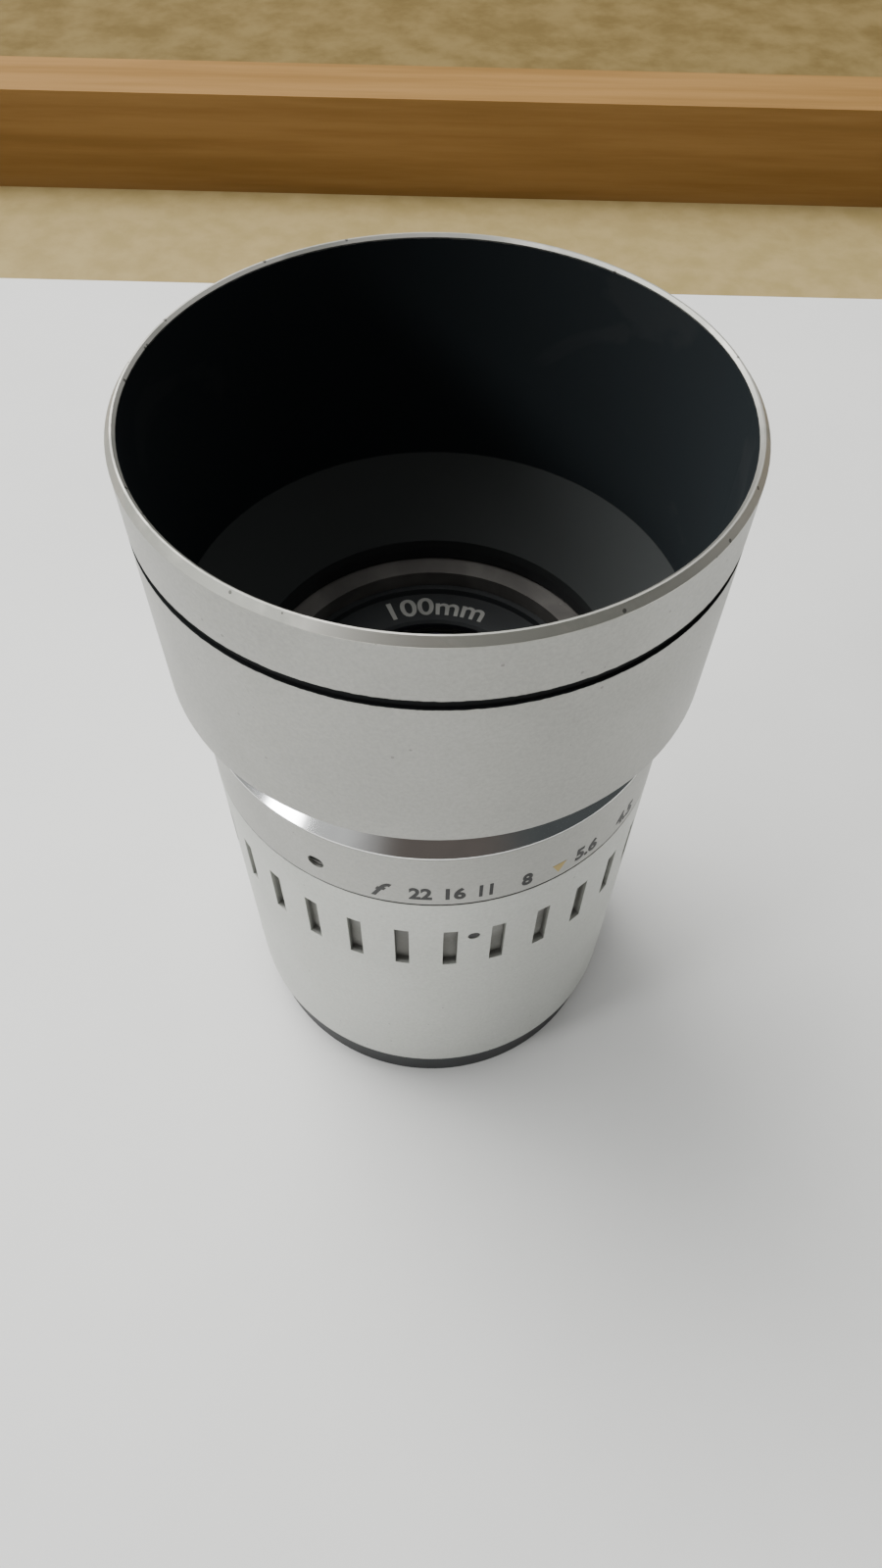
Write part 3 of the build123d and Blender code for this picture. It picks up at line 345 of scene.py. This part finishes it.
def satin_aluminium(name, tint):
    """Blasted and anodised aluminium: the aperture ring and the focusing sleeve."""
    material, graph, shader = finish(name, metallic=0.80)
    grain_node = place_group(graph, grain_group, Size_mm=0.09)
    rings_node = place_group(graph, lathe_group, Pitch_mm=0.22)
    smudge = place_group(graph, smudge_group).outputs["Value"]
    pits = place_group(graph, speck_group, Spacing_mm=1.6, Share=0.14, Size=0.08).outputs["Mask"]
    tone = graph.scaled(grain_node.outputs["Mottle"], 0.34, 0.83)
    base = graph.add("ShaderNodeVectorMath", {0: tint[:3]}, operation="SCALE")
    graph.feed(base.inputs["Scale"], tone)
    colour = graph.mix(graph.math("MULTIPLY", pits, 0.55), base.outputs["Vector"], PIT_GREY)
    radius_mm = rings_node.outputs["Radius mm"]
    # Painted shade: points deeper than the outer skin, inside the flutes, are painted dark, more or less with
    # the smudges.
    deep = graph.math("SUBTRACT", 1.0, graph.step(radius_mm, SKIN_RADIUS - 0.55, SKIN_RADIUS - 0.12))
    flute_shade_amount = graph.scaled(smudge, 0.25, 0.50)
    colour = graph.mix(graph.math("MULTIPLY", deep, flute_shade_amount), colour, (0.085, 0.080, 0.074, 1))
    # Painted shade in the joint between the sleeve and the ring.
    seam_shade = graph.band(rings_node.outputs["Height mm"], SEAM_HEIGHT - 0.07, SEAM_HEIGHT + 0.19, 0.02)
    colour = graph.mix(graph.math("MULTIPLY", seam_shade, 0.85), colour, (0.030, 0.029, 0.027, 1))
    graph.feed(shader.inputs["Base Color"], colour)
    rough = graph.blend(smudge, 0.45, 0.52)
    rough = graph.blend(deep, rough, 0.62)
    graph.feed(shader.inputs["Roughness"], graph.scaled(rings_node.outputs["Value"], 0.06, rough))
    height = graph.scaled(rings_node.outputs["Value"], 0.3, grain_node.outputs["Height"])
    bump(graph, shader, height, 0.004, 0.6)
    return material


satin = satin_aluminium("satin_aluminium", (0.555, 0.565, 0.535))
ring_satin = satin_aluminium("ring_aluminium", (0.42, 0.42, 0.398))
print("finishes", satin.name, ring_satin.name)

# %% [markdown]
# The hood is one spun shell with three finishes: satin outside, flat black inside, and bare metal on
# the lip. The inside is found from the radius and height of a point, in the hood's own coordinates,
# so the paint stays in place when the hood is lifted off.

# %% Hood: satin outside, black inside, bare lip
HOOD_GROOVE_TOP = 80.4
HOOD_GROOVE_WIDTH = 0.8
HOOD_WALL = 0.9
FLOOR_Z = 62.46
FLOOR_SLOPE = 1.145
FLOOR_DROP = 1.15
HOLE_RADIUS = 18.7
LIP_DEPTH = 0.66         # bare metal outside, below the rim
BARE_DEPTH = 0.38        # bare metal inside, below the rim
RAGGED_DEPTH = 0.16      # how far the paint's edge wanders


def hood_finish(name, tint):
    """The hood's three surfaces in one material."""
    material, graph, shader = finish(name, metallic=1.0)
    grain_node = place_group(graph, grain_group, Size_mm=0.09)
    rings_node = place_group(graph, lathe_group, Pitch_mm=0.22)
    radius_mm = rings_node.outputs["Radius mm"]
    height_mm = rings_node.outputs["Height mm"]
    smudge = place_group(graph, smudge_group, Size_mm=12.0).outputs["Value"]
    pits = place_group(graph, speck_group, Spacing_mm=1.5, Share=0.22, Size=0.09).outputs["Mask"]
    rim_mm = rim_z / MM
    outer_mm = rim_radius / MM
    # Where the paint lies: inside the tube, on top of the sloping floor, and in the floor's hole.
    in_tube = graph.math("LESS_THAN", radius_mm, outer_mm - HOOD_WALL / 2)
    floor_middle = FLOOR_Z - FLOOR_DROP / 2 - FLOOR_SLOPE * (outer_mm - HOOD_WALL)
    slope = graph.scaled(radius_mm, FLOOR_SLOPE, floor_middle)
    above_floor = graph.math("GREATER_THAN", height_mm, slope)
    in_hole = graph.math("LESS_THAN", radius_mm, HOLE_RADIUS + 0.05)
    inside = graph.math("MAXIMUM", in_hole, graph.math("MULTIPLY", in_tube, above_floor))
    ragged = graph.add("ShaderNodeTexNoise", {"Vector": graph.add("ShaderNodeTexCoord").outputs["Object"],
                                              "Scale": 1500.0, "Detail": 3.0}).outputs["Fac"]
    wobble = graph.scaled(ragged, RAGGED_DEPTH, -RAGGED_DEPTH / 2)
    ragged_z = graph.math("ADD", height_mm, wobble)
    groove = graph.band(ragged_z, HOOD_GROOVE_TOP - HOOD_GROOVE_WIDTH - 0.09, HOOD_GROOVE_TOP + 0.10,
                        0.015)
    lip = graph.math("GREATER_THAN", ragged_z, rim_mm - LIP_DEPTH)
    bare_inside = graph.math("GREATER_THAN", ragged_z, rim_mm - BARE_DEPTH)
    paint = graph.math("MULTIPLY", inside, graph.math("SUBTRACT", 1.0, bare_inside))
    tone = graph.scaled(grain_node.outputs["Mottle"], 0.38, 0.81)
    base = graph.add("ShaderNodeVectorMath", {0: tint[:3]}, operation="SCALE")
    graph.feed(base.inputs["Scale"], tone)
    satin_colour = graph.mix(graph.math("MULTIPLY", pits, 0.5), base.outputs["Vector"], PIT_GREY)
    worn = graph.step(smudge, 0.25, 0.75)
    lip_colour = graph.mix(worn, (0.56, 0.55, 0.505, 1), (0.40, 0.40, 0.365, 1))
    nicks = place_group(graph, speck_group, Spacing_mm=0.9, Share=0.24, Size=0.18).outputs["Mask"]
    lip_colour = graph.mix(graph.math("MULTIPLY", nicks, 0.8), lip_colour, (0.10, 0.098, 0.09, 1))
    with_lip = graph.mix(lip, satin_colour, lip_colour)
    with_groove = graph.mix(groove, with_lip, PAINT_BLACK)
    dust = place_group(graph, speck_group, Spacing_mm=2.6, Share=0.08, Size=0.05).outputs["Mask"]
    # Painted light: the floor's black is lighter than the walls' black, as light from above falls on the
    # upward floor.
    floor = graph.math("LESS_THAN", height_mm, FLOOR_Z + 0.1)
    flat_black = graph.mix(floor, (0.0165, 0.0205, 0.0230, 1), (0.040, 0.043, 0.043, 1))
    scuffs = graph.math("MULTIPLY", graph.step(smudge, 0.80, 0.99), 0.22)
    flat_black = graph.mix(scuffs, flat_black, (0.040, 0.042, 0.042, 1))
    black = graph.mix(graph.math("MULTIPLY", dust, 0.6), flat_black, (0.20, 0.20, 0.18, 1))
    colour = graph.mix(paint, with_groove, black)
    graph.feed(shader.inputs["Base Color"], colour)
    painted = graph.math("MAXIMUM", paint, groove)
    bright = graph.blend(lip, 0.80, 1.0)
    unpainted = graph.math("SUBTRACT", 1.0, painted)
    graph.feed(shader.inputs["Metallic"], graph.math("MULTIPLY", bright, unpainted))
    rough = graph.blend(smudge, 0.45, 0.52)
    rough = graph.blend(lip, rough, graph.blend(worn, 0.44, 0.56))
    rough = graph.blend(painted, rough, 0.72)
    graph.feed(shader.inputs["Roughness"], rough)
    graph.feed(shader.inputs["Specular IOR Level"], graph.blend(painted, 0.5, 0.11))
    height = graph.scaled(rings_node.outputs["Value"], 0.3, grain_node.outputs["Height"])
    bump(graph, shader, height, 0.004, 0.6)
    return material


hood_metal = hood_finish("hood_aluminium", (0.40, 0.40, 0.378))
print("finish", hood_metal.name)

# %% [markdown]
# The bevel between the hood and the figures is cut with a diamond tool and left bright. It mirrors the
# room, so it needs almost no colour of its own: only fine cutting rings and a little haze.

# %% Polished bevel


def polished_metal(name, tint, roughness, ring_strength=0.4):
    """Bright turned metal with fine rings."""
    material, graph, shader = finish(name, metallic=1.0)
    rings_node = place_group(graph, lathe_group, Pitch_mm=0.06)
    smudge = place_group(graph, smudge_group, Size_mm=4.0).outputs["Value"]
    graph.feed(shader.inputs["Base Color"], graph.mix(smudge, tint, tuple(c * 0.93 for c in tint[:3]) + (1,)))
    graph.feed(shader.inputs["Roughness"], graph.blend(smudge, roughness, roughness + 0.05))
    bump(graph, shader, rings_node.outputs["Value"], 0.0015, ring_strength)
    return material


polished = polished_metal("polished_aluminium", (0.86, 0.865, 0.86, 1), 0.09, 0.2)
steel = polished_metal("turned_steel", (0.52, 0.52, 0.53, 1), 0.28)
blued = polished_metal("blued_steel", (0.115, 0.113, 0.108, 1), 0.36)
brass = polished_metal("turned_brass", (0.66, 0.49, 0.22, 1), 0.26)
print("bright metals ready")

# %% [markdown]
# Black parts come in three kinds: hard satin black on the mount, dead flat paint in the light path,
# and the thin oily black of the iris blades. They share a recipe: a dark colour, grain, and dust.

# %% Blacks


def black_finish(name, tint, roughness, metallic=0.0, dust_share=0.08, shine=0.5):
    """Dark coating with fine grain and a few specks of dust."""
    material, graph, shader = finish(name, metallic=metallic)
    grain_node = place_group(graph, grain_group, Size_mm=0.15)
    smudge = place_group(graph, smudge_group, Size_mm=6.0).outputs["Value"]
    dust = place_group(graph, speck_group, Spacing_mm=1.7, Share=dust_share, Size=0.06).outputs["Mask"]
    tinted = graph.mix(smudge, tint, tuple(c * 1.5 for c in tint[:3]) + (1,))
    dusty = graph.mix(graph.math("MULTIPLY", dust, 0.5), tinted, (0.22, 0.22, 0.21, 1))
    graph.feed(shader.inputs["Base Color"], dusty)
    rough = graph.blend(grain_node.outputs["Value"], roughness - 0.06, roughness + 0.08)
    graph.feed(shader.inputs["Roughness"], rough)
    shader.inputs["Specular IOR Level"].default_value = shine
    bump(graph, shader, grain_node.outputs["Height"], 0.006, 0.6)
    return material


mount_black = black_finish("mount_black", (0.012, 0.013, 0.015, 1), 0.42, shine=0.28)
baffle_black = black_finish("baffle_black", (0.012, 0.0135, 0.015, 1), 0.58)
cell_grey = black_finish("cell_grey", (0.100, 0.094, 0.088, 1), 0.56, dust_share=0.14)
iris_metal = black_finish("iris_blade_black", (0.030, 0.030, 0.034, 1), 0.38, metallic=0.7, dust_share=0.02)
ink_black = black_finish("figure_black", (0.008, 0.008, 0.009, 1), 0.50, dust_share=0.02)
ink_white = black_finish("figure_white", (0.25, 0.25, 0.235, 1), 0.55, dust_share=0.0)
ink_gold = black_finish("figure_gold", (0.46, 0.34, 0.10, 1), 0.45, dust_share=0.0)
print("blacks and inks ready")

# %% [markdown]
# Old coated glass is clear with a faint violet reflection. It is a full transmission shader, and the
# tint of its highlight stands for the coating.

# %% Coated glass


def coated_glass(name, tint):
    """Clear optical glass with a faint coloured reflection."""
    material, graph, shader = finish(name, Roughness=0.0, IOR=1.5)
    shader.inputs["Transmission Weight"].default_value = 1.0
    shader.inputs["Specular Tint"].default_value = tint
    haze = place_group(graph, speck_group, Spacing_mm=1.9, Share=0.10, Size=0.05).outputs["Mask"]
    graph.feed(shader.inputs["Base Color"], graph.mix(haze, (0.97, 0.98, 0.99, 1), (0.5, 0.5, 0.5, 1)))
    graph.feed(shader.inputs["Roughness"], graph.math("MULTIPLY", haze, 0.4))
    return material


glass = coated_glass("coated_glass", (0.62, 0.48, 0.92, 1))
print("finish", glass.name)

# %% [markdown]
# Each finish now goes on the parts that have it, and the count shows that none is left bare.

# %% Put each finish on its parts
finishes = {
    hood_metal: ("hood_shell",),
    satin: ("focusing_sleeve",),
    ring_satin: ("aperture_ring",),
    polished: ("bezel_ring",),
    steel: ("mount_screws", "locating_pin", "iris_clip", "detent_ball", "detent_spring"),
    blued: ("aperture_screw", "sleeve_screws", "stop_screw"),
    brass: ("guide_key", "coupling_ring", "coupling_retainer", "iris_actuator"),
    mount_black: ("rear_mount", "fixed_barrel", "head_barrel"),
    baffle_black: ("rear_cell", "rear_baffle", "rear_retainer", "middle_retainer", "iris_base", "name_ring",
                   "hood_collar"),
    cell_grey: ("front_cell",),
    ink_black: ("index_dot",),
    glass: ("front_element", "middle_element", "rear_element_a", "rear_element_b"),
    iris_metal: tuple(name for name in nodes if name.startswith("blade_")),
}
for material, names in finishes.items():
    for name in names:
        mesh = nodes[name].data
        mesh.materials.clear()
        mesh.materials.append(material)
print("parts with a finish", sum(len(names) for names in finishes.values()), "of", len(nodes))

# %% [markdown]
# Figures on a lens are engraved and filled with paint. Each one is made as text, turned into a mesh,
# and then bent round the ring: a point's distance across the text becomes an angle round the axis.

# %% Lettering helpers


def deselect_all():
    """Leave nothing selected, as every operator acts on the whole selection."""
    if bpy.context.object and bpy.context.object.mode != "OBJECT":
        bpy.ops.object.mode_set(mode="OBJECT")
    bpy.ops.object.select_all(action="DESELECT")


def flat_text(name, words, size_mm, weight=0.0, slant=0.0):
    """Text centred on the origin, as a thin mesh in millimetres."""
    deselect_all()
    bpy.ops.object.text_add(location=(0, 0, 0))
    text = bpy.context.object
    text.data.body = words
    text.data.align_x = "CENTER"
    text.data.align_y = "CENTER"
    text.data.size = size_mm
    text.data.offset = weight
    text.data.shear = slant
    text.data.extrude = 0.02
    text.data.resolution_u = 6
    bpy.ops.object.convert(target="MESH")
    piece = bpy.context.object
    piece.name = name
    return piece


def split_long_edges(piece, longest_mm):
    """Cut the mesh into upright strips, so that it can bend."""
    deselect_all()
    piece.select_set(True)
    bpy.context.view_layer.objects.active = piece
    low = min(v.co.x for v in piece.data.vertices)
    high = max(v.co.x for v in piece.data.vertices)
    cuts = max(1, int((high - low) / longest_mm))
    bpy.ops.object.mode_set(mode="EDIT")
    for k in range(1, cuts):
        bpy.ops.mesh.select_all(action="SELECT")
        bpy.ops.mesh.bisect(plane_co=(low + (high - low) * k / cuts, 0, 0), plane_no=(1, 0, 0))
    bpy.ops.object.mode_set(mode="OBJECT")


def wrap_round(piece, angle, height, radius, proud):
    """Bend a flat piece round the lens's axis, at an angle and a height in millimetres."""
    for vertex in piece.data.vertices:
        x, y, z = vertex.co
        turn = math.radians(angle) + x / radius
        reach = (radius + proud + z) * MM
        vertex.co = (reach * math.sin(turn), -reach * math.cos(turn), (height + y) * MM)


def lay_on_ring(piece, angle, radius, height, proud):
    """Bend a flat piece along a circle on an upward face, with its top outwards."""
    for vertex in piece.data.vertices:
        x, y, z = vertex.co
        turn = math.radians(angle) - x / radius
        reach = (radius + y) * MM
        vertex.co = (reach * math.sin(turn), -reach * math.cos(turn), (height + proud + z) * MM)


def clean_normals(piece):
    """Point all faces outwards."""
    deselect_all()
    piece.select_set(True)
    bpy.context.view_layer.objects.active = piece
    bpy.ops.object.mode_set(mode="EDIT")
    bpy.ops.mesh.select_all(action="SELECT")
    bpy.ops.mesh.remove_doubles(threshold=1e-7)
    bpy.ops.mesh.normals_make_consistent(inside=False)
    bpy.ops.object.mode_set(mode="OBJECT")


def fit_to(piece, width, tall):
    """Scale a flat piece to a width and a height in millimetres, centred on the origin."""
    places = [vertex.co for vertex in piece.data.vertices]
    low = [min(place[axis] for place in places) for axis in (0, 1)]
    high = [max(place[axis] for place in places) for axis in (0, 1)]
    for place in places:
        place.x = (place.x - (low[0] + high[0]) / 2) * width / (high[0] - low[0])
        place.y = (place.y - (low[1] + high[1]) / 2) * tall / (high[1] - low[1])


def paint_and_ride(piece, ink, body):
    """Finish a wrapped piece: clean it, paint it, and let it move with its body."""
    clean_normals(piece)
    piece.data.materials.append(ink)
    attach(piece, body)


def ring_figure(name, words, place, size, body, radius=SKIN_RADIUS, weight=0.12, slant=0.0):
    """One black filled figure on the outside of a ring: place is (angle, height), size is (width, height)."""
    piece = flat_text(name, words, 3.0, weight, slant)
    fit_to(piece, *size)
    split_long_edges(piece, 0.5)
    wrap_round(piece, *place, radius, 0.0)
    paint_and_ride(piece, ink_black, body)
    return piece


print("lettering helpers ready")


# %% [markdown]
# The aperture figures crowd together at the small end of the scale and spread out at the wide end, as
# the iris needs less and less turn for each stop. A small gold triangle marks a useful setting.

# %% Aperture scale
FIGURE_HEIGHT = 49.7
FIGURE_TALL = 2.15
# figure: (angle round the ring, width in millimetres)
SCALE_MARKS = {"22": (-1.9, 2.24), "16": (6.1, 1.95), "11": (13.1, 1.36), "8": (23.0, 1.12),
               "5.6": (39.5, 2.85), "4.5": (53.5, 2.85)}
for words, (angle, width) in SCALE_MARKS.items():
    name = "figure_" + words.replace(".", "_")
    figure = ring_figure(name, words, (angle, FIGURE_HEIGHT), (width, FIGURE_TALL), "aperture")
ring_figure("figure_f", "f", (-10.9, FIGURE_HEIGHT), (2.1, 2.6), "aperture", weight=0.10, slant=0.6)


def wedge(name, angle, height, width, tall, body):
    """Gold triangle that points down."""
    deselect_all()
    bpy.ops.mesh.primitive_cylinder_add(vertices=3, radius=1.0, depth=0.04)
    piece = bpy.context.object
    piece.name = name
    piece.data.transform(Matrix.Rotation(math.pi, 4, "Z"))
    fit_to(piece, width, tall)
    split_long_edges(piece, 0.5)
    wrap_round(piece, angle, height, SKIN_RADIUS, 0.0)
    paint_and_ride(piece, ink_gold, body)
    return piece


wedge("scale_wedge", 31.4, 49.3, 1.6, 1.6, "aperture")
print("figures", len(SCALE_MARKS) + 1, "last one", [round(v / MM, 2) for v in figure.dimensions], "mm")

# %% [markdown]
# The distance scale runs round the back of the focusing sleeve and is read against one line on the
# mount. Each figure sits where the focusing screw would put it: the lens advances f squared over
# (d - f), and one turn of the head advances it nine millimetres.

# %% Distance scale and its index line
FOCAL = 100.0
LEAD = 9.0
INFINITY_ANGLE = 288.0
DISTANCES = {"15": 15000, "10": 10000, "7": 7000, "5": 5000, "4": 4000, "3": 3000, "2.5": 2500, "2": 2000}


def tick(name, angle, height, width, tall, radius, ink, body):
    """A straight filled line along the lens."""
    deselect_all()
    bpy.ops.mesh.primitive_cube_add(size=1.0)
    piece = bpy.context.object
    piece.name = name
    piece.data.transform(Matrix.Diagonal((width, tall, 0.04, 1.0)))
    wrap_round(piece, angle, height, radius, 0.0)
    paint_and_ride(piece, ink, body)
    return piece


for words, distance in DISTANCES.items():
    angle = INFINITY_ANGLE - FOCAL ** 2 / (distance - FOCAL) / LEAD * 360
    name = words.replace(".", "_")
    ring_figure("distance_" + name, words, (angle, 11.0), (1.3 * len(words.replace(".", "")), 2.0), "head")
    tick("distance_tick_" + name, angle, 8.3, 0.25, 1.6, SKIN_RADIUS, ink_black, "head")
far = flat_text("distance_far", "8", 3.0, 0.12)
far.data.transform(Matrix.Rotation(math.pi / 2, 4, "Z"))
fit_to(far, 2.4, 1.2)
split_long_edges(far, 0.5)
wrap_round(far, INFINITY_ANGLE, 11.0, SKIN_RADIUS, 0.0)
paint_and_ride(far, ink_black, "head")
tick("distance_tick_far", INFINITY_ANGLE, 8.3, 0.25, 1.6, SKIN_RADIUS, ink_black, "head")
mount_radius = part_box("rear_mount")[1][0] / MM
tick("index_line", INFINITY_ANGLE, 3.0, 0.35, 3.2, mount_radius, ink_white, "mount")
print("distances", 1 + len(DISTANCES))

# %% [markdown]
# The name ring round the front glass carries the focal length and the widest aperture in white, with
# the tops of the letters outwards.

# %% Name ring lettering
NAME_FACE = 50.1
for name, words, angle, width in (("name_focal", "100mm", 180.0, 11.2), ("name_stop", "1:4.5", 60.0, 8.6)):
    piece = flat_text(name, words, 3.6, 0.06)
    fit_to(piece, width, 2.7)
    split_long_edges(piece, 0.5)
    lay_on_ring(piece, angle, 13.4, NAME_FACE, 0.0)
    paint_and_ride(piece, ink_white, "head")
print("name ring", "100mm and 1:4.5, 13.4 mm from the axis")

# %% [markdown]
# The lens stands on white card, on a pale board, with a wooden batten behind. None of this belongs to
# the lens.

# %% Table
CARD_EDGE = 0.170
BATTEN_FRONT = 0.217


def stage_slab(name, low, high, material):
    """Box between two corners, part of the stage."""
    deselect_all()
    bpy.ops.mesh.primitive_cube_add(size=1.0)
    slab = bpy.context.object
    slab.name = name
    low, high = Vector(low), Vector(high)
    size = high - low
    slab.data.transform(Matrix.Translation((low + high) / 2) @ Matrix.Diagonal((*size, 1.0)))
    slab.data.materials.append(material)
    return slab


def stage_finish(name, dark, light, size_mm, roughness, shine=0.5, stretch=1.0):
    """Paper, board or wood: two colours blended by a soft pattern that can be drawn out along X."""
    material, graph, shader = finish(name)
    coords = graph.add("ShaderNodeTexCoord").outputs["Object"]
    drawn = graph.add("ShaderNodeVectorMath", {0: coords, 1: (1 / stretch, 1.0, 1.0)}, operation="MULTIPLY")
    cloud = graph.add("ShaderNodeTexNoise", {"Vector": drawn.outputs["Vector"], "Scale": 1000 / size_mm,
                                             "Detail": 6.0, "Roughness": 0.62}).outputs["Fac"]
    graph.feed(shader.inputs["Base Color"], graph.mix(graph.step(cloud, 0.3, 0.7), dark, light))
    shader.inputs["Roughness"].default_value = roughness
    shader.inputs["Specular IOR Level"].default_value = shine
    return material


card = stage_finish("white_card", (0.80, 0.80, 0.785, 1), (0.84, 0.84, 0.825, 1), 60.0, 0.5)
board = stage_finish("pale_board", (0.31, 0.235, 0.095, 1), (0.38, 0.29, 0.130, 1), 9.0, 0.7, 0.2)
# Painted shade: behind the batten the same board is painted a darker brown, as the shade that falls there.
board_in_painted_shade = stage_finish("board_painted_shade_finish", (0.140, 0.096, 0.032, 1), (0.21, 0.150, 0.058, 1), 12.0, 0.8, 0.1)
wood = stage_finish("batten_wood", (0.24, 0.130, 0.038, 1), (0.32, 0.180, 0.060, 1), 5.0, 0.7, 0.1,
                    stretch=20.0)
stage_slab("card", (-0.8, -0.8, -0.0006), (0.8, CARD_EDGE, 0.0), card)
stage_slab("board", (-2.0, -2.0, -0.0200), (2.0, 2.0, -0.0008), board)
stage_slab("batten", (-0.8, BATTEN_FRONT, -0.0008), (0.8, BATTEN_FRONT + 0.020, 0.0225), wood)
# The board behind the batten, painted darker as shade.
stage_slab("board_in_painted_shade", (-2.0, BATTEN_FRONT + 0.020, -0.0008), (2.0, 2.0, 0.0215), board_in_painted_shade)
print("stage pieces 4")
